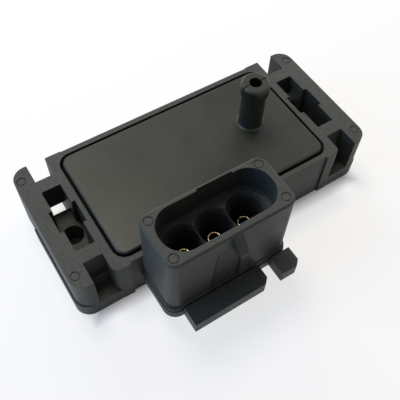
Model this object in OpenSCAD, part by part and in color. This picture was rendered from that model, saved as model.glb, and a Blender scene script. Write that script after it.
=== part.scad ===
// Manifold absolute pressure sensor with a flat case, two slotted mounting ears,
// an upright hose port and an upright three-way connector on its front side.
// The origin lies midway between the two screw holes, on the mounting face.
// X runs from ear to ear, the connector is on the -Y side and +Z is up.

/* [Case] */
// Length of the case between the ears
case_l = 61.4; // [58:0.2:70]
// Width of the case from its front face to its back face
case_w = 34.2; // [33:0.2:40]
// Height of the case from the mounting face to its rim
case_h = 14.2; // [13.6:0.2:18]
// Radius of the two front corners of the case
case_r = 1.8; // [0.8:0.1:2.6]
// Length of the thicker block at each corner of the case
block_l = 4.0; // [2.5:0.1:5]
// How far the two front corner blocks stand proud of the front face
block_proud = 0.45; // [0.1:0.05:0.6]
// How far the two back corner blocks stand proud of the back face
back_proud = 0.2; // [0.1:0.05:0.6]
// Wall between the sealant groove and the ends of the case
end_wall = 2.0; // [1.8:0.1:2.8]
// Wall between the sealant groove and the long faces of the case
side_wall = 1.35; // [1.2:0.1:2]
// Outer corner radius of the sealant groove
groove_r = 3.2; // [2.8:0.1:4]
// Depth of the sealant groove below the rim
groove_depth = 3.4; // [3:0.1:4]
// Inner wall between the sealant groove and the circuit space
inner_wall = 1.3; // [1:0.1:2]
// How far the inner wall stops below the cover plate
inner_wall_drop = 0.3; // [0.2:0.1:0.8]
// Thickness of the floor under the circuit space
case_floor_t = 2.5; // [2:0.1:3.2]
// Width of the ledge that carries the circuit board
ledge_w = 2.2; // [1.6:0.1:3]

/* [Ears] */
// Gap between the end of the case and the outer bar of each ear
ear_gap = 4.6; // [4.2:0.1:6]
// Thickness of the outer bar
bar_t = 4.3; // [3.5:0.1:6]
// Length of the outer bar
bar_l = 34.9; // [33:0.1:40]
// Radius of the outer corners of the bar
bar_r = 3.5; // [2:0.1:4]
// Distance between the outer faces of the two bridges of an ear
bridge_span = 24.2; // [22:0.1:27]
// Distance between the inner faces of the two bridges of an ear
bridge_slot = 17.5; // [15:0.1:19]
// Height of each bridge, down from the rim
bridge_h = 7.1; // [6:0.1:7.2]
// Length of the wider part in the middle of the slot
notch_l = 6.0; // [5:0.1:9]
// Depth of the wider part into the case and into the bar
notch_depth = 0.9; // [0.4:0.1:1.2]
// Thickness of the ear floor
floor_t = 4.3; // [3.5:0.1:4.8]
// Height of the raised pad on the ear floor
pad_t = 1.6; // [1:0.1:1.8]
// Height of the step that carries the front bridge, above the mounting face
step_h = 7.7; // [7.4:0.1:8.4]
// Distance from the screw hole to the front edge of the step
step_front = 13.2; // [12.6:0.1:15]
// Distance from the screw hole to the back edge of the ear floor
floor_back = 7.2; // [5:0.1:8.5]
// How far the ear floor stands proud of the bar
foot_proud = 0.4; // [0.1:0.1:0.8]
// Diameter of the screw hole in each ear
screw_d = 5.0; // [4:0.1:5.5]

/* [Cover] */
// Thickness of the cover plate
cover_t = 1.4; // [1:0.1:2]
// How far the cover plate stands above the rim
cover_proud = 0.4; // [0.2:0.1:0.9]
// Gap between the cover plate and the outer wall of the groove
cover_gap = 0.75; // [0.5:0.05:1]
// Thickness of the tongue under the edge of the cover plate
tongue_t = 1.0; // [0.8:0.1:1.4]
// Gap between the tongue and the inner wall of the groove
tongue_gap = 0.5; // [0.3:0.05:0.8]
// Thickness of the sealant bead under the tongue
bead_t = 0.6; // [0.4:0.1:1]
// Width of the bevel round the upper edge of the cover plate
cover_bevel = 0.3; // [0.1:0.05:0.5]
// How far the sealant rises beside the tongue
bead_rise = 1.1; // [0.8:0.1:1.2]

/* [Hose port] */
// Distance of the hose port from the right end of the case
port_inset = 13.55; // [12.6:0.05:18]
// Distance of the hose port from the middle of the case, towards the back
port_y = 1.4; // [0:0.1:4]
// Height of the hose port above the cover plate
port_h = 13.4; // [10:0.1:16]
// Outer diameter of the stem that the hose grips
port_d = 5.9; // [5:0.1:7]
// Diameter of the air passage
port_bore_d = 3.0; // [2:0.1:3.4]
// Largest diameter of the barb
barb_d = 6.9; // [6.6:0.1:8]
// Diameter of the flat end of the barb
barb_tip_d = 5.7; // [4.6:0.1:6.4]
// Height of the barb
barb_h = 3.5; // [3:0.1:5]
// Width of the small ledge under the barb
barb_ledge = 0.12; // [0.05:0.01:0.2]
// Height of the curved lower side of the barb
barb_foot = 1.3; // [0.6:0.1:1.6]
// Height of the rounded shoulder at the top of the barb
barb_round = 0.9; // [0.5:0.1:1.2]
// Width of the mould parting groove across the barb
slit_w = 0.25; // [0.15:0.05:0.4]
// Depth of the mould parting groove
slit_depth = 0.3; // [0.1:0.05:0.4]
// Radius of the fillet at the foot of the port
port_fillet = 0.5; // [0.3:0.1:1.2]

/* [Connector] */
// Distance from the left end of the case to the connector shroud
conn_inset = 6.75; // [5:0.05:9]
// Length of the connector shroud
conn_l = 30.2; // [30:0.1:34]
// Distance from the rear face of the shroud to the front face of the case
conn_overlap = 1.3; // [0.8:0.05:1.35]
// Length of the shroud cavity
cavity_l = 26.5; // [25.4:0.1:27]
// Width of the shroud cavity
cavity_w = 10.8; // [10:0.1:11]
// Corner radius of the shroud cavity
cavity_r = 5.0; // [4:0.1:5]
// Thickness of the front wall of the shroud
conn_front_wall = 1.65; // [1.4:0.05:2.2]
// Thickness of the rear wall of the shroud
conn_rear_wall = 1.0; // [0.9:0.05:1.6]
// Corner radius of the shroud
conn_r = 2.4; // [1.8:0.1:2.8]
// Width of the bevel round the mouth edge
conn_bevel = 0.4; // [0.2:0.05:0.6]
// Height of the mouth above the rim of the case
conn_rise = 14.0; // [12:0.1:16]
// Height of the underside of the connector above the mounting face
conn_base_z = 5.2; // [4.6:0.1:5.6]
// Thickness of the connector base plate and its tabs
plate_t = 3.7; // [3.3:0.1:4]
// How far the base plate stands out at the left and at the front
plate_margin = 0.65; // [0.3:0.05:1]
// Height of the lower step of the base plate
plate_step = 2.4; // [1.6:0.1:3]
// How far the tabs reach in front of the base plate
tab_reach = 4.7; // [3:0.1:6]
// Length of the wide tab
wide_tab_l = 19.2; // [14:0.1:20]
// Length of the narrow tab
narrow_tab_l = 5.1; // [3:0.1:6]
// How far the narrow tab reaches past the end of the shroud
tab_outset = 0.3; // [0:0.1:0.6]
// Gap between the two tabs
tab_gap = 3.4; // [3:0.1:6]
// Bevel on the right-hand corner of each tab
tab_bevel = 1.2; // [0.4:0.1:2]
// Depth of the cavity down to the wells
cavity_depth = 6.9; // [5:0.1:8]
// Diameter of each terminal well
well_d = 7.2; // [6.6:0.1:7.3]
// Distance between the terminals
pitch = 7.7; // [7.6:0.1:8]
// Depth of the flared lip at the top of each well
flare_h = 1.5; // [1:0.1:2]
// Width of the flare all round the well
flare_w = 0.9; // [0.5:0.1:1]
// Length of the keyway in the rear wall of the cavity
key_l = 8.6; // [6:0.1:12]
// Shift of the keyway from the middle of the connector
key_shift = 2.9; // [0:0.1:4]
// Depth of the keyway
key_depth = 0.45; // [0.2:0.05:0.6]
// Width of the locking wedge
wedge_w = 2.1; // [1.5:0.1:3]
// Shift of the locking wedge from the middle of the connector
wedge_shift = 0.25; // [0:0.05:1]
// Distance from the mouth of the connector down to the underside of the locking wedge
wedge_drop = 4.8; // [4:0.1:7]
// Height of the blunt nose of the locking wedge
wedge_nose = 0.5; // [0.3:0.1:1]
// Reach of the locking wedge in front of the shroud
wedge_reach = 2.8; // [1.5:0.1:3.4]
// Length of the shallow latch pocket under the wedge, measured at its top
pocket_l = 6.0; // [5:0.1:8]
// How far the latch pocket reaches past the right-hand side of the wedge
pocket_past = 0.7; // [0.3:0.1:1]
// How far the latch pocket widens towards its lower end
pocket_flare = 1.1; // [0:0.1:1.4]
// Depth of the latch pocket
pocket_depth = 0.5; // [0.3:0.05:0.6]
// Width of the fine slot along the top and left-hand edges of the latch pocket
slot_w = 0.3; // [0.2:0.05:0.4]
// Depth of the fine slot below the floor of the latch pocket
slot_depth = 0.5; // [0.3:0.05:0.6]

/* [Terminals] */
// Outer diameter of each round terminal
pin_d = 3.0; // [2.4:0.1:3.4]
// Wall of each round terminal
pin_wall = 0.25; // [0.2:0.05:0.5]
// Length of terminal that stands clear in its well
pin_reach = 6.9; // [5:0.1:8]
// Thickness of the flat lead behind each terminal
lead_t = 0.6; // [0.4:0.05:0.8]
// Width of the flat lead
lead_w = 2.0; // [1.4:0.1:2.4]
// Length of lead that lies on the circuit board
lead_foot = 2.4; // [1.5:0.1:3]

/* [Circuit] */
// Thickness of the ceramic circuit board
board_t = 0.8; // [0.6:0.1:1.2]
// Clearance between the board and the wall of the case
board_gap = 0.3; // [0.2:0.05:0.6]
// Thickness of the adhesive under the board
glue_t = 0.2; // [0.1:0.05:0.4]
// Side of the square carrier of the pressure cell
cell_side = 10.6; // [10.4:0.1:12]
// Thickness of the cell carrier
cell_t = 1.3; // [1.2:0.1:1.6]
// Thickness of the sealing ring on the cell carrier
ring_t = 0.8; // [0.6:0.1:1.2]
// Outer diameter of the sealing ring and of the collar above it
ring_d = 10.0; // [9.4:0.1:10.2]
// Wall of the sealing ring and of the collar above it
ring_wall = 1.2; // [0.8:0.1:1.6]
// Side of the square silicon sensing die
die_side = 2.6; // [2:0.1:3]
// Thickness of the silicon sensing die
die_t = 0.4; // [0.3:0.05:0.5]
// Thickness of the glass pedestal under the die
glass_t = 0.6; // [0.4:0.05:0.7]
// Depth of the silicone gel over the die
gel_t = 0.7; // [0.65:0.05:0.75]
// Span of each bond wire from the die to the cell carrier
wire_span = 0.9; // [0.8:0.05:1]
// Diameter of each bond wire
wire_d = 0.12; // [0.08:0.02:0.16]
// Length of the amplifier chip
chip_l = 5.0; // [4:0.1:7]
// Width of the amplifier chip
chip_w = 4.0; // [3:0.1:5]
// Height of the amplifier chip
chip_h = 1.5; // [1:0.1:2]
// Length of each filter capacitor
cap_l = 2.5; // [1.6:0.1:3.2]
// Width of each filter capacitor
cap_w = 1.5; // [0.8:0.1:1.8]
// Height of each filter capacitor
cap_h = 1.2; // [0.6:0.1:1.6]
// Length of each trim resistor
resistor_l = 3.2; // [2:0.1:4]
// Width of each trim resistor
resistor_w = 1.6; // [1:0.1:2]
// Height of each trim resistor
resistor_h = 0.5; // [0.3:0.1:0.8]
// Length of the protection diode
diode_l = 2.8; // [2:0.1:3.6]
// Width of the protection diode
diode_w = 1.6; // [1:0.1:2]
// Height of the protection diode
diode_h = 1.1; // [0.8:0.1:1.4]

/* [Marks] */
// Diameter of the ejector pin marks
mark_d = 2.2; // [1.6:0.1:2.4]
// Depth of the fine ring round each ejector pin mark
mark_depth = 0.2; // [0.1:0.05:0.4]
// Width of the fine ring round each ejector pin mark
mark_ring = 0.22; // [0.1:0.02:0.4]
// How far the face of each mark lies below the surface
mark_sink = 0.06; // [0.02:0.02:0.12]
// Distance of the ear marks from the middle of the ear
ear_mark_y = 13.9; // [13:0.1:15]
// Shift of the ear marks from the middle of the bar towards its outer face
ear_mark_shift = 0.5; // [0:0.1:0.8]
// Distance of the connector marks from the outer faces of the shroud
conn_mark_in = 2.0; // [1.8:0.1:2.2]

/* [Hidden] */
$fn = 64;
eps = 0.01;             // overlap that joins two parts of one solid
through = 1;            // how far a cut runs past the face that it opens
hull_fn = 32;

// case, groove and circuit space
case_end = case_l / 2;
case_side = case_w / 2;
groove_l = case_l - 2 * end_wall;
groove_w = case_w - 2 * side_wall;
groove_z = case_h - groove_depth;
cover_l = groove_l - 2 * cover_gap;
cover_w = groove_w - 2 * cover_gap;
cover_top = case_h + cover_proud;
cover_under = cover_top - cover_t;
cover_r = groove_r - cover_gap;
tongue_in = cover_gap + tongue_t;          // groove wall to inner face of the tongue
groove_band = tongue_in + tongue_gap;      // whole width of the groove
channel_l = groove_l - 2 * groove_band;
channel_w = groove_w - 2 * groove_band;
well_l = channel_l - 2 * inner_wall;       // circuit space
well_w = channel_w - 2 * inner_wall;
inner_r = 1.0;
tongue_z = groove_z + bead_t;
port_top = cover_top + port_h;
barb_z = port_top - barb_h;

// ears
bar_x0 = case_end + ear_gap;
bar_x1 = bar_x0 + bar_t;
hole_x = case_end + ear_gap / 2;
pad_z = floor_t + pad_t;
floor_l = bar_l / 2 + floor_back;
bridge_w = (bridge_span - bridge_slot) / 2;

// connector
conn_x = -case_end + conn_inset + conn_l / 2;
conn_rear = -case_side + conn_overlap;
conn_w = conn_front_wall + cavity_w + conn_rear_wall;
conn_front = conn_rear - conn_w;
conn_y = (conn_rear + conn_front) / 2;
conn_top = case_h + conn_rise;
plate_top = conn_base_z + plate_t;
cavity_y = conn_rear - conn_rear_wall - cavity_w / 2;
cavity_z = conn_top - cavity_depth;
plate_left = conn_x - conn_l / 2 - plate_margin;
plate_right = conn_x + conn_l / 2 + plate_margin;
plate_front = conn_front - plate_margin;
tab_front = plate_front - tab_reach;
narrow_tab_x1 = conn_x + conn_l / 2 + tab_outset;
narrow_tab_x0 = narrow_tab_x1 - narrow_tab_l;
wide_tab_x1 = narrow_tab_x0 - tab_gap;
wide_tab_x0 = wide_tab_x1 - wide_tab_l;
wedge_x = conn_x + wedge_shift;
wedge_z = conn_top - wedge_drop;
pocket_x = wedge_x + wedge_w / 2 + pocket_past;
well_lift = 0.1;                           // floor of the wells above the base plate
well_floor_z = plate_top + well_lift;

// board and cell
port_x = case_end - port_inset;
lead_drop = 1.8;                           // floor of the wells down to the leads
lead_z = well_floor_z - lead_drop;         // underside of the leads, on the board
board_top = lead_z;
board_z = board_top - board_t;
ledge_z = board_z - glue_t;
board_l = well_l - 2 * board_gap;
board_w = well_w - 2 * board_gap;
cell_z = board_top + glue_t;
cell_top = cell_z + cell_t;
ring_top = cell_top + ring_t;
cell_recess = die_t + glass_t;
wire_count = 4;
wire_pitch = die_side / (wire_count + 1);
wire_room = 0.1;
gel_r = ring_d / 2 - ring_wall;

terminal_x = [for (i = [-1, 0, 1]) conn_x + i * pitch];

// places of the small circuit parts on the board
chip_x = port_x - 15;                      // midway between the cell and the resistors
chip_y = port_y - 0.2;
cap_gap = 1.6;                             // end of the leads to the capacitors
resistor_count = 4;
resistor_pitch = 4;
resistor_x = -board_l / 2 + 4.8;
resistor_y = board_w / 2 - 7.8;
diode_x = port_x;
diode_y = -board_w / 2 + 3.8;

module rounded_rect(l, w, r) {
    square([l - 2 * r, w], center = true);
    square([l, w - 2 * r], center = true);
    for (x = [-1, 1], y = [-1, 1])
        translate([x * (l / 2 - r), y * (w / 2 - r)]) circle(r);
}

module rounded_block(l, w, h, r) {
    linear_extrude(h) rounded_rect(l, w, r);
}

// rounded ring between an outer rectangle and one inset by band
module ring_block(l, w, h, r, band, r_in) {
    linear_extrude(h) difference() {
        rounded_rect(l, w, r);
        rounded_rect(l - 2 * band, w - 2 * band, r_in);
    }
}

// plan of the right-hand front corner block, rounded at its outer corner
module front_block_outline() {
    translate([case_end - block_l, -case_side - block_proud]) {
        square([block_l - case_r, block_l]);
        translate([0, case_r]) square([block_l, block_l]);
        translate([block_l - case_r, case_r]) circle(case_r);
    }
}

// plan of the right-hand back corner block
module back_block_outline() {
    translate([case_end - block_l, case_side - block_l]) square([block_l, block_l + back_proud]);
}

module case_outline() {
    translate([-case_end, -case_side + block_l]) square([case_l, case_w - block_l]);
    translate([-case_end + block_l / 2, -case_side]) square([case_l - block_l, case_w]);
    for (side = [0, 1]) mirror([side, 0]) {
        front_block_outline();
        back_block_outline();
    }
}

module case_shell() {
    difference() {
        linear_extrude(case_h) case_outline();
        // sealant groove
        translate([0, 0, groove_z])
            ring_block(groove_l, groove_w, groove_depth + through, groove_r, groove_band,
                       inner_r + inner_wall);
        // room for the cover plate above the inner wall
        translate([0, 0, cover_under - inner_wall_drop])
            rounded_block(groove_l - groove_band, groove_w - groove_band, case_h, inner_r + inner_wall);
        // circuit space over the ledge, and the deeper space inside the ledge
        translate([0, 0, ledge_z]) rounded_block(well_l, well_w, case_h, inner_r);
        translate([0, 0, case_floor_t])
            rounded_block(well_l - 2 * ledge_w, well_w - 2 * ledge_w, case_h, inner_r);
    }
}

// plan of the outer bar of the right-hand ear: round outside corners, square inside ones
module bar_outline() {
    intersection() {
        translate([bar_x1 - bar_t - bar_r, 0]) rounded_rect(2 * (bar_t + bar_r), bar_l, bar_r);
        translate([bar_x0, -bar_l / 2]) square([bar_t, bar_l]);
    }
}

// one right-hand ear without its cuts
module ear_solid() {
    linear_extrude(case_h) bar_outline();
    // bridges between case and bar
    for (side = [0, 1]) mirror([0, side, 0])
        translate([case_end - eps, bridge_slot / 2, case_h - bridge_h])
            cube([ear_gap + 2 * eps, bridge_w, bridge_h]);
    // ear floor, which stands proud of the bar and runs in under the corner of the case
    linear_extrude(floor_t) intersection() {
        translate([bar_x1 + foot_proud - case_l / 2, floor_back])
            rounded_rect(case_l, 2 * floor_l, bar_r);
        translate([case_end - block_l / 2, floor_back - floor_l]) square([case_l, floor_l]);
    }
    // raised pad round the screw hole, and the step under the front bridge
    translate([case_end - eps, -step_front, 0]) {
        cube([ear_gap + 2 * eps, step_front + floor_back, pad_z]);
        cube([ear_gap + 2 * eps, step_front - bridge_slot / 2, step_h]);
    }
}

// cut that an ejector pin leaves in the surface at z = 0: a shallow disc in a finer, deeper ring
module ejector_mark() {
    translate([0, 0, -mark_sink]) cylinder(d = mark_d, h = through);
    translate([0, 0, -mark_depth]) linear_extrude(mark_depth) difference() {
        circle(d = mark_d);
        circle(d = mark_d - 2 * mark_ring);
    }
}

// what is cut from case and bar at the right-hand ear
module ear_cuts() {
    translate([hole_x, 0, -through]) cylinder(d = screw_d, h = pad_z + 2 * through);
    translate([case_end - notch_depth, -notch_l / 2, pad_z])
        cube([ear_gap + 2 * notch_depth, notch_l, case_h]);
    for (y = [-1, 1])
        translate([(bar_x0 + bar_x1) / 2 + ear_mark_shift, y * ear_mark_y, case_h])
            ejector_mark();
}

module tab(x0, x1) {
    linear_extrude(plate_t) polygon([
        [x0, plate_front + eps], [x1, plate_front + eps],
        [x1, tab_front + tab_bevel], [x1 - tab_bevel, tab_front], [x0, tab_front]
    ]);
}

// base plate of the connector with its two tabs
module connector_base() {
    plate_l = plate_right - plate_left;
    plate_w = conn_rear - plate_front;
    translate([0, 0, conn_base_z]) {
        translate([(plate_left + plate_right) / 2, (plate_front + conn_rear) / 2, 0]) {
            rounded_block(plate_l, plate_w, plate_step, conn_r + plate_margin);
            rounded_block(plate_l - plate_margin, plate_w - plate_margin, plate_t, conn_r);
        }
        translate([plate_left + conn_r, -case_side - eps - conn_r, 0])
            cube([plate_right - plate_left - 2 * conn_r, conn_r + 2 * eps, plate_t]);
        tab(wide_tab_x0, wide_tab_x1);
        tab(narrow_tab_x0, narrow_tab_x1);
    }
}

// outside of the shroud, with the bevel round its mouth
module shroud_solid() {
    translate([conn_x, conn_y, conn_base_z])
        rounded_block(conn_l, conn_w, conn_top - conn_bevel - conn_base_z, conn_r);
    translate([conn_x, conn_y, conn_top - conn_bevel]) hull() {
        rounded_block(conn_l, conn_w, eps, conn_r, $fn = hull_fn);
        translate([0, 0, conn_bevel - eps])
            rounded_block(conn_l - 2 * conn_bevel, conn_w - 2 * conn_bevel, eps, conn_r - conn_bevel,
                          $fn = hull_fn);
    }
}

// wedge that the latch of the cable plug snaps over
module locking_wedge() {
    translate([wedge_x - wedge_w / 2, conn_front, wedge_z])
        rotate([90, 0, 90]) linear_extrude(wedge_w)
            polygon([[eps, 0], [-wedge_reach, 0], [-wedge_reach, wedge_nose], [0, wedge_drop - conn_bevel],
                     [eps, wedge_drop - conn_bevel]]);
}

// front view of the latch pocket, which widens downwards on its left-hand side
module pocket_outline() {
    polygon([
        [pocket_x, plate_top], [pocket_x, wedge_z],
        [pocket_x - pocket_l, wedge_z], [pocket_x - pocket_l - pocket_flare, plate_top]
    ]);
}

// a front view, cut to the given depth into the front face of the shroud
module shroud_front_cut(depth) {
    translate([0, conn_front + depth, 0]) rotate([90, 0, 0]) linear_extrude(depth + through) children();
}

module connector_cuts() {
    // mouth, keyway and the three wells with their flared lips
    translate([conn_x, cavity_y, cavity_z])
        rounded_block(cavity_l, cavity_w, cavity_depth + through, cavity_r);
    translate([conn_x + key_shift - key_l / 2, cavity_y, cavity_z])
        cube([key_l, cavity_w / 2 + key_depth, cavity_depth + through]);
    for (x = terminal_x) translate([x, cavity_y, 0]) {
        translate([0, 0, well_floor_z]) cylinder(d = well_d, h = cavity_z - well_floor_z);
        translate([0, 0, cavity_z - flare_h])
            cylinder(d1 = well_d, d2 = well_d + 2 * flare_w, h = flare_h + eps);
    }
    // latch pocket below the wedge, with the fine slot along two of its edges
    shroud_front_cut(pocket_depth) pocket_outline();
    shroud_front_cut(pocket_depth + slot_depth) difference() {
        pocket_outline();
        translate([slot_w, -slot_w]) pocket_outline();
    }
    // ejector pin marks in the corners of the mouth
    for (x = [-1, 1], y = [-1, 1])
        translate([conn_x + x * (conn_l / 2 - conn_mark_in), conn_y + y * (conn_w / 2 - conn_mark_in),
                   conn_top])
            ejector_mark();
}

// a terminal as a solid rod with its flat lead, for its seat in the housing
module terminal_seat(x) {
    translate([x, cavity_y, lead_z]) {
        cylinder(d = pin_d, h = well_floor_z - lead_z);
        translate([-lead_w / 2, 0, 0])
            cube([lead_w, -well_w / 2 - cavity_y, lead_t]);
    }
}

module housing() {
    color("#35352f") difference() {
        union() {
            case_shell();
            for (side = [0, 1]) mirror([side, 0, 0]) ear_solid();
            difference() {
                union() {
                    connector_base();
                    shroud_solid();
                    locking_wedge();
                }
                // the groove and the circuit space stay open behind the shroud
                translate([0, 0, conn_base_z]) rounded_block(groove_l, groove_w, conn_top, groove_r);
            }
        }
        for (side = [0, 1]) mirror([side, 0, 0]) ear_cuts();
        connector_cuts();
        for (x = terminal_x) terminal_seat(x);
    }
}

// profile of the hose port, from the underside of the cover plate to its tip
module port_profile() {
    r = port_d / 2;
    polygon(concat(
        [[port_bore_d / 2, cover_under], [r + port_fillet, cover_under], [r + port_fillet, cover_top]],
        [for (a = [15 : 15 : 75]) [r + port_fillet * (1 - sin(a)), cover_top + port_fillet * (1 - cos(a))]],
        [
            [r, cover_top + port_fillet],
            [r, barb_z],
            [r + barb_ledge, barb_z]
        ],
        // lower side and shoulder of the barb, each a quarter of an ellipse
        [for (a = [0 : 18 : 90]) [r + barb_ledge + (barb_d / 2 - r - barb_ledge) * sin(a),
                                  barb_z + barb_foot * (1 - cos(a))]],
        [for (a = [0 : 18 : 90]) [barb_tip_d / 2 + (barb_d - barb_tip_d) / 2 * cos(a),
                                  port_top - barb_round * (1 - sin(a))]],
        [[port_bore_d / 2, port_top]]
    ));
}

// groove that the two halves of the mould leave across the barb
module parting_groove() {
    translate([-barb_d / 2, -slit_w / 2, port_top - slit_depth]) cube([barb_d, slit_w, through]);
    for (side = [-1, 1])
        translate([side * barb_d / 2 - slit_depth, -slit_w / 2, barb_z + barb_foot / 2])
            cube([2 * slit_depth, slit_w, barb_h]);
}

module cover_plate() {
    color("#3d3c33") difference() {
        union() {
            translate([0, 0, cover_under])
                rounded_block(cover_l, cover_w, cover_t - cover_bevel, cover_r);
            translate([0, 0, cover_top - cover_bevel]) hull() {
                rounded_block(cover_l, cover_w, eps, cover_r, $fn = hull_fn);
                translate([0, 0, cover_bevel - eps])
                    rounded_block(cover_l - 2 * cover_bevel, cover_w - 2 * cover_bevel, eps,
                                  cover_r - cover_bevel, $fn = hull_fn);
            }
            // tongue that stands in the sealant
            translate([0, 0, tongue_z])
                ring_block(cover_l, cover_w, cover_under + eps - tongue_z, cover_r, tongue_t,
                           cover_r - tongue_t);
            translate([port_x, port_y, 0]) {
                rotate_extrude() port_profile();
                // collar that presses on the sealing ring of the pressure cell
                translate([0, 0, ring_top]) cylinder(d = ring_d, h = cover_under + eps - ring_top);
            }
        }
        translate([port_x, port_y, 0]) {
            translate([0, 0, ring_top - through])
                cylinder(d = ring_d - 2 * ring_wall, h = cover_under + through - ring_top);
            cylinder(d = port_bore_d, h = port_top + through);
            parting_groove();
        }
    }
}

module cover_sealant() {
    color("#10100f") difference() {
        translate([0, 0, groove_z])
            ring_block(groove_l, groove_w, bead_t + bead_rise, groove_r, groove_band,
                       inner_r + inner_wall);
        translate([0, 0, tongue_z])
            ring_block(cover_l, cover_w, case_h, cover_r, tongue_t, cover_r - tongue_t);
    }
}

// round hollow pin in its well, with a flat lead that runs onto the circuit board
module terminal(x) {
    color("#c9a54a") translate([x, cavity_y, lead_z]) {
        difference() {
            cylinder(d = pin_d, h = well_floor_z - lead_z + pin_reach);
            translate([0, 0, well_floor_z - lead_z])
                cylinder(d = pin_d - 2 * pin_wall, h = pin_reach + through);
        }
        translate([-lead_w / 2, 0, 0])
            cube([lead_w, -well_w / 2 - cavity_y + lead_foot, lead_t]);
    }
}

module circuit_board() {
    color("#d8d6cc") translate([0, 0, board_z])
        rounded_block(board_l, board_w, board_t, inner_r - board_gap);
}

module board_adhesive() {
    color("#b9b2a0") translate([0, 0, ledge_z])
        ring_block(board_l, board_w, glue_t, inner_r - board_gap, ledge_w - board_gap, inner_r);
}

module solder_joints() {
    fillet = 0.5;
    color("#c4c7c9") for (x = terminal_x)
        translate([x, -well_w / 2 + lead_foot, lead_z])
            rotate([90, 0, 90]) linear_extrude(lead_w, center = true)
                polygon([[0, 0], [fillet, 0], [0, lead_t]]);
}

module at_cell(z) {
    translate([port_x, port_y, z]) children();
}

module cell_carrier() {
    color("#e6e1d2") at_cell(cell_z) difference() {
        translate([-cell_side / 2, -cell_side / 2, 0]) cube([cell_side, cell_side, cell_t]);
        translate([-die_side / 2, -die_side / 2, cell_t - cell_recess])
            cube([die_side, die_side, cell_t]);
    }
}

module cell_adhesive() {
    color("#b9b2a0") at_cell(board_top)
        translate([-cell_side / 2, -cell_side / 2, 0]) cube([cell_side, cell_side, glue_t]);
}

module glass_pedestal() {
    color("#b7cdd1") at_cell(cell_top - cell_recess)
        translate([-die_side / 2, -die_side / 2, 0]) cube([die_side, die_side, glass_t]);
}

// silicon die, thinned from below to leave a diaphragm over the vacuum reference
module sensing_die() {
    cup = die_side / 2;
    diaphragm = die_t / 4;
    color("#5a6270") at_cell(cell_top - die_t) difference() {
        translate([-die_side / 2, -die_side / 2, 0]) cube([die_side, die_side, die_t]);
        translate([-cup / 2, -cup / 2, -through]) cube([cup, cup, die_t - diaphragm + through]);
    }
}

module bond_wires() {
    color("#d9b64c") at_cell(cell_top)
        for (i = [0 : wire_count - 1])
            translate([die_side / 2, (i - (wire_count - 1) / 2) * wire_pitch, 0])
                rotate([90, 0, 0]) rotate_extrude(angle = 180)
                    translate([wire_span / 2, 0]) circle(d = wire_d, $fn = 16);
}

module silicone_gel() {
    room_l = wire_span + wire_d + 2 * wire_room;
    color("#c8d8d4", 0.6) at_cell(cell_top) difference() {
        cylinder(r = gel_r, h = gel_t);
        // pocket round the wires, which the gel surrounds
        translate([(die_side - room_l) / 2, -die_side / 2, -through])
            cube([room_l, die_side, through + (wire_span + wire_d) / 2 + wire_room]);
    }
}

module sealing_ring() {
    color("#7a2f22") at_cell(cell_top) difference() {
        cylinder(d = ring_d, h = ring_t);
        translate([0, 0, -through]) cylinder(d = ring_d - 2 * ring_wall, h = ring_t + 2 * through);
    }
}

// moulded chip with short gull-wing legs along both long sides
module amplifier_chip() {
    leg_w = 0.4;
    leg_h = 0.5;
    leg_reach = 0.8;
    leg_pitch = chip_l / 4;
    color("#22252a") translate([chip_x, chip_y, board_top]) {
        translate([-chip_l / 2, -chip_w / 2, 0]) cube([chip_l, chip_w, chip_h]);
        for (i = [-1.5 : 1.5])
            translate([i * leg_pitch - leg_w / 2, -chip_w / 2 - leg_reach, 0])
                cube([leg_w, chip_w + 2 * leg_reach, leg_h]);
    }
}

module filter_capacitors() {
    color("#b89468") for (x = terminal_x)
        translate([x - cap_l / 2, -well_w / 2 + lead_foot + cap_gap, board_top])
            cube([cap_l, cap_w, cap_h]);
}

module trim_resistors() {
    color("#26302c") for (i = [0 : resistor_count - 1])
        translate([resistor_x + i * resistor_pitch, resistor_y, board_top])
            cube([resistor_w, resistor_l, resistor_h]);
}

module protection_diode() {
    foot = 0.5;
    foot_h = 0.3;
    color("#1f1f1f") translate([diode_x, diode_y, board_top]) {
        translate([-diode_l / 2, -diode_w / 2, 0]) cube([diode_l, diode_w, diode_h]);
        translate([-diode_l / 2 - foot, -diode_w / 4, 0]) cube([diode_l + 2 * foot, diode_w / 2, foot_h]);
    }
}

housing();
cover_plate();
cover_sealant();
terminal(terminal_x[0]);  // terminal_ground
terminal(terminal_x[1]);  // terminal_signal
terminal(terminal_x[2]);  // terminal_supply
circuit_board();
board_adhesive();
solder_joints();
cell_carrier();
cell_adhesive();
glass_pedestal();
sensing_die();
bond_wires();
silicone_gel();
sealing_ring();
amplifier_chip();
filter_capacitors();
trim_resistors();
protection_diode();
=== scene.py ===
import math

import bpy
from mathutils import Matrix, Vector

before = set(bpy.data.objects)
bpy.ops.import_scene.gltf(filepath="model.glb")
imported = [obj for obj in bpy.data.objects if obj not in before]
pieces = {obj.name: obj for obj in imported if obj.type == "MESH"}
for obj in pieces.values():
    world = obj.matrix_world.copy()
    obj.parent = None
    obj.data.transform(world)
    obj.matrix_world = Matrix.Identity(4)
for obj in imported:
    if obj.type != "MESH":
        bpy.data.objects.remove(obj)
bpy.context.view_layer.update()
scene = bpy.context.scene
MM = 0.001
WHITE = (1.0, 1.0, 1.0)
BLACK = (0.0, 0.0, 0.0)


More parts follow.
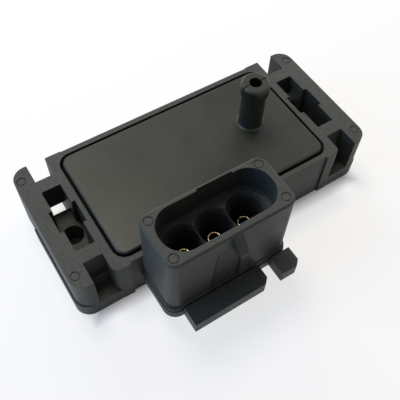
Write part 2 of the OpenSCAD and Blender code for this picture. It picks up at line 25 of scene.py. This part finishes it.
class Nodes:
    """Short ways to fill one node tree."""

    # sockets of the Mix node that carry colours
    MIX_SHARE, MIX_FIRST, MIX_SECOND, MIX_RESULT = 0, 6, 7, 2

    def __init__(self, tree):
        self.tree = tree
        self.tree.nodes.clear()

    def add(self, kind, **settings):
        node = self.tree.nodes.new(kind)
        for name, value in settings.items():
            setattr(node, name, value)
        return node

    def link(self, source, target):
        self.tree.links.new(source, target)

    def put(self, value, socket):
        """Writes a number or a colour into a socket, or links what another node gives to it."""
        if isinstance(value, bpy.types.NodeSocket):
            self.link(value, socket)
        elif isinstance(value, tuple):
            socket.default_value = (*value, 1.0)
        else:
            socket.default_value = value

    def calc(self, operation, first, second=None):
        node = self.add("ShaderNodeMath", operation=operation)
        self.put(first, node.inputs[0])
        if second is not None:
            self.put(second, node.inputs[1])
        return node.outputs[0]

    def band(self, value, low, high, start=0.0, end=1.0):
        """Goes from start to end as value goes from low to high, and stays level outside them."""
        node = self.add("ShaderNodeMapRange")
        self.put(low, node.inputs["From Min"])
        self.put(high, node.inputs["From Max"])
        self.put(start, node.inputs["To Min"])
        self.put(end, node.inputs["To Max"])
        self.link(value, node.inputs["Value"])
        return node.outputs[0]

    def mix(self, share, first, second):
        node = self.add("ShaderNodeMix", data_type="RGBA")
        self.put(share, node.inputs[self.MIX_SHARE])
        self.put(first, node.inputs[self.MIX_FIRST])
        self.put(second, node.inputs[self.MIX_SECOND])
        return node.outputs[self.MIX_RESULT]

    def coordinates(self):
        return self.add("ShaderNodeTexCoord").outputs["Object"]

    def split(self, vector):
        node = self.add("ShaderNodeSeparateXYZ")
        self.link(vector, node.inputs[0])
        return node.outputs

    def blend(self, share, first, second):
        """Shader or background that goes from first to second as share goes from 0 to 1."""
        node = self.add("ShaderNodeMixShader")
        self.link(share, node.inputs[0])
        self.link(first, node.inputs[1])
        self.link(second, node.inputs[2])
        return node.outputs[0]

    def direct_view(self):
        """1 for the rays that show the background itself: from the camera, a reflection or glass."""
        path = self.add("ShaderNodeLightPath")
        seen = path.outputs["Is Camera Ray"]
        for kind in ("Is Glossy Ray", "Is Transmission Ray"):
            seen = self.calc("MAXIMUM", seen, path.outputs[kind])
        return seen


class Finish(Nodes):
    """A material with one Principled shader and textures in the object's own coordinates."""

    def __init__(self, name):
        self.material = bpy.data.materials.new(name)
        self.material.use_nodes = True
        super().__init__(self.material.node_tree)
        self.shader = self.add("ShaderNodeBsdfPrincipled")
        self.link(self.shader.outputs[0], self.add("ShaderNodeOutputMaterial").inputs[0])
        self.place = self.coordinates()

    def set(self, name, value):
        self.put(value, self.shader.inputs[name])

    def stretched(self, scale, turn=0.0):
        """Coordinates stretched along the axes and turned about Z."""
        node = self.add("ShaderNodeMapping")
        node.inputs["Scale"].default_value = scale
        node.inputs["Rotation"].default_value = (0, 0, turn)
        self.link(self.place, node.inputs[0])
        return node.outputs[0]

    def noise(self, scale, detail, rough, place=None):
        node = self.add("ShaderNodeTexNoise")
        self.put(scale, node.inputs["Scale"])
        self.put(detail, node.inputs["Detail"])
        self.put(rough, node.inputs["Roughness"])
        self.link(place or self.place, node.inputs["Vector"])
        return node.outputs["Fac"]

    def cells(self, scale):
        node = self.add("ShaderNodeTexVoronoi")
        self.put(scale, node.inputs["Scale"])
        self.link(self.place, node.inputs["Vector"])
        return node.outputs["Distance"]

    def rounded(self, radius):
        """Normal that turns over each edge as if it had this radius."""
        node = self.add("ShaderNodeBevel", samples=6)
        self.put(radius, node.inputs["Radius"])
        return node.outputs[0]

    def relief(self, height, depth, strength, normal=None):
        node = self.add("ShaderNodeBump")
        self.put(strength, node.inputs["Strength"])
        self.put(depth, node.inputs["Distance"])
        self.link(height, node.inputs["Height"])
        if normal is not None:
            self.link(normal, node.inputs["Normal"])
        self.set("Normal", node.outputs[0])


# Edge radius that the moulded plastic shows in its shading
EDGE_RADIUS = 0.18 * MM

# Painted shade: a dark line where the slot round the latch pocket opens in the front of the shroud,
# along the pocket's left and top edges
POCKET_LEFT = -12.85 * MM
POCKET_RIGHT = -9.65 * MM
POCKET_TOP = 23.4 * MM
POCKET_FOOT = 8.95 * MM
POCKET_LEAN = 0.0759  # how far the left edge runs outwards for each unit of the way down
POCKET_FRONT = -29.2 * MM  # the line is drawn only on what lies in front of this
# half the width of the painted shade line
SHADE_LINE_HALF = 0.15 * MM

# Height at which a terminal starts to turn from painted shade, dark as down in its well, to bright
# metal, and over how much
TIP_START = 15.66 * MM
TIP_BLEND = 0.08 * MM


def paler(colour, times):
    return tuple(min(1.0, part * times) for part in colour)


def painted_pocket_shade(finish):
    """1 on the line of painted shade where the slot round the latch pocket opens in the front of the
    shroud.
    """
    x, y, z = finish.split(finish.place)
    calc = finish.calc
    below_top = calc("SUBTRACT", POCKET_TOP, z)
    upright = calc("ADD", x, calc("MULTIPLY", below_top, POCKET_LEAN))
    off_left = calc("ABSOLUTE", calc("SUBTRACT", upright, POCKET_LEFT - SHADE_LINE_HALF))
    under_top = calc("LESS_THAN", z, POCKET_TOP + 2 * SHADE_LINE_HALF)
    left_edge = calc("MULTIPLY", calc("LESS_THAN", off_left, SHADE_LINE_HALF), under_top)
    off_top = calc("ABSOLUTE", calc("SUBTRACT", z, POCKET_TOP + SHADE_LINE_HALF))
    past_left = calc("GREATER_THAN", x, POCKET_LEFT - 2 * SHADE_LINE_HALF)
    along = calc("MULTIPLY", past_left, calc("LESS_THAN", x, POCKET_RIGHT))
    top_edge = calc("MULTIPLY", calc("LESS_THAN", off_top, SHADE_LINE_HALF), along)
    above_foot = calc("GREATER_THAN", z, POCKET_FOOT)
    in_front = calc("MULTIPLY", calc("LESS_THAN", y, POCKET_FRONT), above_foot)
    return calc("MULTIPLY", calc("MAXIMUM", left_edge, top_edge), in_front)


def moulded(name, base, light, rough, grain, grain_depth, fleck=0.5, mottling=0.22, painted_slot_shade=False):
    """Black glass-filled plastic: fine grain, pale flecks, soft mottling and faint rub marks."""
    finish = Finish(name)
    calc, band, noise, mix = finish.calc, finish.band, finish.noise, finish.mix

    fine = band(noise(grain, detail=2, rough=0.7), low=0.36, high=0.68)
    coarse = band(noise(2700, detail=2, rough=0.6), low=0.40, high=0.62)
    tone = mix(calc("ADD", calc("MULTIPLY", fine, 0.22), calc("MULTIPLY", coarse, 0.66)), base, light)

    mottle = band(noise(60, detail=3, rough=0.55), low=0.35, high=0.68)
    tone = mix(calc("MULTIPLY", mottle, mottling), tone, paler(light, 1.5))

    speck = band(finish.cells(grain * 0.55), low=0.16, high=0.05)
    few = band(noise(grain * 1.7, detail=1, rough=0.5), low=0.70, high=0.76)
    tone = mix(calc("MULTIPLY", calc("MULTIPLY", speck, few), fleck), tone, paler(light, 3.2))

    # thin rub marks that run roughly along the part
    along = finish.stretched((0.05, 1.0, 1.0), turn=math.radians(12))
    rub = band(noise(2600, detail=3, rough=0.55, place=along), low=0.62, high=0.78)
    patch = band(noise(130, detail=2, rough=0.5), low=0.5, high=0.7)
    tone = mix(calc("MULTIPLY", calc("MULTIPLY", rub, patch), 0.35), tone, paler(light, 1.8))

    # painted shade: a thin dark line round the latch pocket, with its reflection taken away too
    if painted_slot_shade:
        shade_line = painted_pocket_shade(finish)
        tone = mix(shade_line, tone, BLACK)
        finish.set("Specular Tint", mix(shade_line, WHITE, BLACK))
    finish.set("Base Color", tone)

    sheen = band(noise(140, detail=3, rough=0.6), 0.3, 0.7, start=rough - 0.035, end=rough + 0.045)
    grain_sheen = band(fine, 0.0, 1.0, start=-0.04, end=0.05)
    finish.set("Roughness", calc("ADD", sheen, grain_sheen))
    finish.set("IOR", 1.5)
    finish.set("Specular IOR Level", 0.3)

    height = calc("ADD", calc("MULTIPLY", fine, 0.7), calc("MULTIPLY", coarse, 0.25))
    finish.relief(height, grain_depth, strength=0.8, normal=finish.rounded(EDGE_RADIUS))
    return finish.material


def metal(name, base, tarnish, rough, scale=700, tip=None):
    """Bright metal with faint stains. Below the height tip it is painted dark, as painted shade."""
    finish = Finish(name)
    band, noise = finish.band, finish.noise
    tone = finish.mix(band(noise(scale, detail=4, rough=0.6), low=0.4, high=0.7), base, tarnish)
    if tip is not None:
        height = finish.split(finish.place)["Z"]
        # painted shade: below the tip the terminal is darkened as if down in its dark well
        well_shade_tone = tuple(part * 0.09 for part in tarnish)
        tone = finish.mix(band(height, tip, tip + TIP_BLEND), well_shade_tone, tone)
    finish.set("Base Color", tone)
    wear = noise(scale * 2.3, detail=3, rough=0.6)
    finish.set("Roughness", band(wear, 0.3, 0.7, start=rough - 0.08, end=rough + 0.12))
    finish.set("Metallic", 1.0)
    drawn = noise(scale * 4, detail=2, rough=0.5, place=finish.stretched((1, 1, 0.15)))
    finish.relief(drawn, depth=0.01 * MM, strength=0.5)
    return finish.material


def mineral(name, base, dark, rough, scale=900, depth=0.01 * MM, metallic=0.0, clear=0.0, shine=0.5):
    """Ceramic, adhesive, glass, silicon, gel and rubber: a soft change of tone and a light relief."""
    finish = Finish(name)
    band, noise = finish.band, finish.noise
    finish.set("Base Color", finish.mix(band(noise(scale, detail=4, rough=0.6), 0.35, 0.7), base, dark))
    worn = noise(scale * 0.6, detail=3, rough=0.5)
    finish.set("Roughness", band(worn, 0.3, 0.7, start=max(0.02, rough - 0.06), end=rough + 0.1))
    finish.relief(noise(scale * 2.2, detail=3, rough=0.55), depth, strength=0.7)
    finish.set("Metallic", metallic)
    finish.set("Transmission Weight", clear)
    finish.set("Specular IOR Level", shine)
    return finish.material


def dress(material, *names):
    """Gives these pieces the material."""
    for name in names:
        slots = pieces[name].data.materials
        slots.clear()
        slots.append(material)


TERMINALS = ("terminal_ground", "terminal_signal", "terminal_supply")

# Case, cover and terminals, which the photo shows
dress(moulded("moulded_case", base=(0.018, 0.021, 0.019), light=(0.070, 0.073, 0.062), rough=0.52,
              grain=6400, grain_depth=0.022 * MM, fleck=1.0, painted_slot_shade=True), "housing")
dress(moulded("moulded_cover", base=(0.010, 0.013, 0.008), light=(0.026, 0.028, 0.018), rough=0.38,
              grain=5200, grain_depth=0.006 * MM, mottling=0.75), "cover_plate")
dress(mineral("sealant", base=(0.005, 0.006, 0.008), dark=(0.009, 0.010, 0.013), rough=0.70,
              scale=500, depth=0.03 * MM, shine=0.08), "cover_sealant")
dress(metal("terminal_metal", base=(0.83, 0.68, 0.40), tarnish=(0.50, 0.37, 0.18), rough=0.24,
            tip=TIP_START), *TERMINALS)

# Circuit board and what it carries
dress(mineral("ceramic", base=(0.78, 0.76, 0.70), dark=(0.66, 0.63, 0.55), rough=0.55, scale=1400,
              depth=0.008 * MM), "circuit_board", "cell_carrier")
dress(mineral("adhesive", base=(0.55, 0.50, 0.40), dark=(0.42, 0.37, 0.28), rough=0.4, scale=700,
              depth=0.02 * MM), "board_adhesive", "cell_adhesive")
dress(metal("solder", base=(0.70, 0.71, 0.72), tarnish=(0.50, 0.51, 0.52), rough=0.3), "solder_joints")
dress(moulded("chip_plastic", base=(0.022, 0.022, 0.025), light=(0.045, 0.045, 0.05), rough=0.5,
              grain=6000, grain_depth=0.01 * MM, fleck=0.2),
      "amplifier_chip", "trim_resistors", "protection_diode")
dress(mineral("capacitor_ceramic", base=(0.48, 0.34, 0.18), dark=(0.38, 0.26, 0.13), rough=0.45,
              scale=1800), "filter_capacitors")

# Pressure cell
dress(mineral("cell_glass", base=(0.80, 0.90, 0.92), dark=(0.74, 0.85, 0.88), rough=0.08, scale=300,
              depth=0.002 * MM, clear=0.8), "glass_pedestal")
dress(mineral("silicon", base=(0.20, 0.23, 0.29), dark=(0.15, 0.17, 0.22), rough=0.14,
              depth=0.003 * MM, metallic=0.6), "sensing_die")
dress(metal("wire_metal", base=(0.90, 0.72, 0.34), tarnish=(0.75, 0.56, 0.22), rough=0.2,
            scale=2500), "bond_wires")
dress(mineral("gel", base=(0.80, 0.88, 0.86), dark=(0.74, 0.82, 0.80), rough=0.12, scale=250,
              depth=0.006 * MM, clear=0.7), "silicone_gel")
dress(mineral("seal_rubber", base=(0.33, 0.07, 0.045), dark=(0.24, 0.05, 0.03), rough=0.6, scale=1500,
              depth=0.02 * MM), "sealing_ring")


def crisp_edges(widest, *names):
    """Smooth faces that end at crisp edges.

    Flat faces are merged, then each sharp edge gets a narrow bevel, so that the smooth shading
    stops there. The clamp keeps the bevel as narrow as the shortest edge asks for.
    """
    for name in names:
        piece = pieces[name]
        for face in piece.data.polygons:
            face.use_smooth = True
        weld = piece.modifiers.new("weld", "WELD")
        weld.merge_threshold = 0.004 * MM
        flat = piece.modifiers.new("flat", "DECIMATE")
        flat.decimate_type = "DISSOLVE"
        flat.angle_limit = math.radians(0.6)
        bevel = piece.modifiers.new("edge", "BEVEL")
        bevel.width = widest
        bevel.segments = 2
        bevel.limit_method = "ANGLE"
        bevel.angle_limit = math.radians(34)
        bevel.use_clamp_overlap = True
        bevel.miter_outer = "MITER_ARC"
        normals = piece.modifiers.new("normals", "WEIGHTED_NORMAL")
        normals.mode = "FACE_AREA"
        normals.weight = 80
        normals.keep_sharp = True


crisp_edges(0.22 * MM, "housing")
crisp_edges(0.14 * MM, "cover_plate")
crisp_edges(0.06 * MM, *TERMINALS)


# Studio floor, in metres
FLOOR_SIZE = 3.0
FLOOR_DROP = 0.05 * MM  # keeps the floor clear of the mounting face
FLOOR_GLOW = 0.72

# Middle and half size, on each axis, of the floor that the part hides from the light: it has no glow,
# which leaves painted shade there
SHADED_UNDER_PART = {"X": (0.0, 34.0 * MM), "Y": (-4.5 * MM, 11.5 * MM)}
SHADED_UNDER_PART_BLEND = 5.0 * MM

# Point inside the part that every light is aimed at
AIM = Vector((0, 0, 5 * MM))


def outside_painted_shade(nodes):
    """0 right under the part, where the glow is left out as painted shade, and 1 away from it."""
    across = nodes.split(nodes.coordinates())
    masks = []
    for axis, (middle, half) in SHADED_UNDER_PART.items():
        away = nodes.calc("ABSOLUTE", nodes.calc("SUBTRACT", across[axis], middle))
        masks.append(nodes.band(away, half, half + SHADED_UNDER_PART_BLEND))
    return nodes.calc("MAXIMUM", *masks)


def studio_floor():
    """Pale floor: the camera sees it white with soft shadows and painted shade under the part, and it
    throws little light back up.
    """
    bpy.ops.mesh.primitive_plane_add(size=FLOOR_SIZE, location=(0, 0, -FLOOR_DROP))
    floor = bpy.context.object
    floor.name = "floor"
    material = bpy.data.materials.new("floor")
    material.use_nodes = True
    nodes = Nodes(material.node_tree)
    pale = nodes.add("ShaderNodeBsdfDiffuse")
    nodes.put((0.42, 0.41, 0.40), pale.inputs["Color"])
    glow = nodes.add("ShaderNodeEmission")
    nodes.put(WHITE, glow.inputs["Color"])
    # painted shade: the glow is left out under the part and fades in around it
    nodes.put(nodes.calc("MULTIPLY", outside_painted_shade(nodes), FLOOR_GLOW), glow.inputs["Strength"])
    seen = nodes.add("ShaderNodeAddShader")
    nodes.link(pale.outputs[0], seen.inputs[0])
    nodes.link(glow.outputs[0], seen.inputs[1])
    dim = nodes.add("ShaderNodeBsdfDiffuse")
    nodes.put((0.55, 0.56, 0.58), dim.inputs["Color"])
    shown = nodes.blend(nodes.direct_view(), dim.outputs[0], seen.outputs[0])
    nodes.link(shown, nodes.add("ShaderNodeOutputMaterial").inputs[0])
    floor.data.materials.append(material)


def studio_world():
    """White where it is seen, and a faint even light elsewhere."""
    world = bpy.data.worlds.new("studio")
    world.use_nodes = True
    nodes = Nodes(world.node_tree)
    backgrounds = []
    for colour, strength in (((0.93, 0.97, 1.0), 0.03), (WHITE, 1.0)):
        background = nodes.add("ShaderNodeBackground")
        nodes.put(colour, background.inputs["Color"])
        nodes.put(strength, background.inputs["Strength"])
        backgrounds.append(background.outputs[0])
    shown = nodes.blend(nodes.direct_view(), *backgrounds)
    nodes.link(shown, nodes.add("ShaderNodeOutputWorld").inputs[0])
    scene.world = world


def softbox(name, place, size, power, colour):
    """Area light, with its place and size in metres and its power in watts."""
    light = bpy.data.lights.new(name, "AREA")
    light.shape = "RECTANGLE"
    light.size, light.size_y = size
    light.energy = power
    light.color = colour
    box = bpy.data.objects.new(name, light)
    scene.collection.objects.link(box)
    box.location = place
    box.rotation_euler = (AIM - Vector(place)).to_track_quat("-Z", "Y").to_euler()


def photo_camera():
    """Camera that sees the part as the photo does: its place and its axes were fitted to the edges."""
    data = bpy.data.cameras.new("camera")
    data.sensor_width = 36.0
    data.lens = 52.2887
    data.clip_start = 0.01
    data.clip_end = 10.0
    camera = bpy.data.objects.new("camera", data)
    scene.collection.objects.link(camera)
    right = Vector((0.843656, -0.536189, 0.027304))
    up = Vector((0.439667, 0.719182, 0.538024))
    back = Vector((-0.308119, -0.441903, 0.842487))
    place = Vector((-0.04624, -0.069655, 0.124945))
    camera.matrix_world = Matrix.Translation(place) @ Matrix((right, up, back)).transposed().to_4x4()
    scene.camera = camera


studio_floor()
studio_world()
softbox("back_glow", (-0.03, 0.27, 0.64), size=(0.24, 0.20), power=1.75, colour=(1.0, 0.91, 0.78))
softbox("back_low", (0.10, 0.60, 0.25), size=(0.35, 0.30), power=1.4, colour=(0.90, 0.98, 1.0))
softbox("right_back", (0.50, 0.30, 0.22), size=(0.30, 0.25), power=0.9, colour=(1.0, 0.97, 0.90))
softbox("left_window", (-0.57, 0.08, 0.165), size=(0.40, 0.24), power=1.3, colour=(0.22, 0.48, 1.0))
softbox("left_high", (-0.45, 0.15, 0.42), size=(0.30, 0.30), power=0.7, colour=(0.35, 0.55, 1.0))
photo_camera()
scene.view_settings.view_transform = "Standard"
